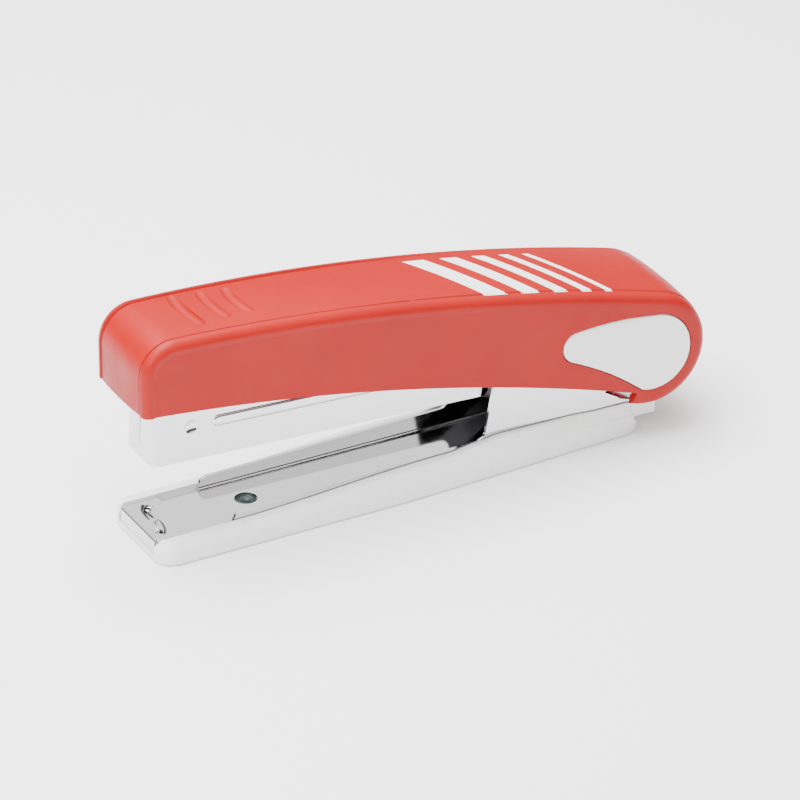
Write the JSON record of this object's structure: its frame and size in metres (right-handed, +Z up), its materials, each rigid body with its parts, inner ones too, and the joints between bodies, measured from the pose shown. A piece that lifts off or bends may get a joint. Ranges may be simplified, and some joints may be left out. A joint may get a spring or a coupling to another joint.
{
  "type": "desk stapler",
  "caption": "Desk stapler with an arched plastic cover hinged over a chromed spring-fed magazine, on a steel channel set in a moulded sole with a sliding anvil.",
  "frame": {"origin": "on the flat underside of the sole, on the symmetry plane, about midway along the sole", "axes": "+Z up, the stapling end towards -X and the hinge end towards +X, +Y across the width"},
  "size_m": [0.166, 0.0352, 0.0651],
  "materials": {
    "red_plastic": "satin moulded",
    "white_plastic": "gloss moulded",
    "chrome": "bright plated",
    "spring_steel": "tempered",
    "zinc_plate": "zinc plated",
    "dark_rivet": "blackened",
    "staple_wire": "galvanised wire",
    "black_plastic": "matt moulded"
  },
  "bodies": {
    "base": {"base_shoe": "white_plastic", "base_channel": "chrome", "shoe_rivet_front": "dark_rivet", "shoe_rivet_rear": "dark_rivet", "hinge_pin": "zinc_plate", "hinge_pin_ring": "spring_steel", "return_leaf": "spring_steel", "return_leaf_rivet": "zinc_plate"},
    "anvil": {"anvil_saddle": "chrome"},
    "magazine": {"magazine_channel": "chrome", "staple_rail": "zinc_plate", "rail_rivet_front": "dark_rivet", "rail_rivet_rear": "dark_rivet", "guide_rod": "spring_steel", "staple_strip": "staple_wire", "pusher_spring": "spring_steel", "hinge_spacer": "zinc_plate"},
    "pusher": {"pusher": "black_plastic"},
    "cover": {"driver_lever": "zinc_plate", "driver_blade": "spring_steel", "driver_rivet_left": "zinc_plate", "driver_rivet_right": "zinc_plate", "lift_leaf": "spring_steel", "lift_leaf_rivet": "zinc_plate", "cover_shell": "red_plastic", "cover_screw_front": "zinc_plate", "cover_screw_rear": "zinc_plate", "inset_left": "white_plastic", "inset_right": "white_plastic"}
  },
  "joints": [
    {"name": "magazine_hinge", "type": "hinge", "parent": "base", "child": "magazine", "pos_m": [0.0736, 0, 0.027], "axis": [0, -1, 0], "range_deg": [0, 7.7], "stiffness_Nm_per_rad": 1, "springref_deg": -14.32, "deforming": ["return_leaf"]},
    {"name": "cover_hinge", "type": "hinge", "parent": "magazine", "child": "cover", "pos_m": [0.0736, 0, 0.027], "axis": [0, 1, 0], "range_deg": [-3.3, 55], "deforming": ["lift_leaf"]},
    {"name": "pusher_slide", "type": "slide", "parent": "magazine", "child": "pusher", "axis": [0.9989, 0, -0.0471], "range_m": [0, 0.038], "stiffness_N_per_m": 30, "springref_m": -0.04, "deforming": ["pusher_spring"]},
    {"name": "anvil_slide", "type": "slide", "parent": "base", "child": "anvil", "axis": [1, 0, 0], "range_m": [0, 0.004]}
  ]
}
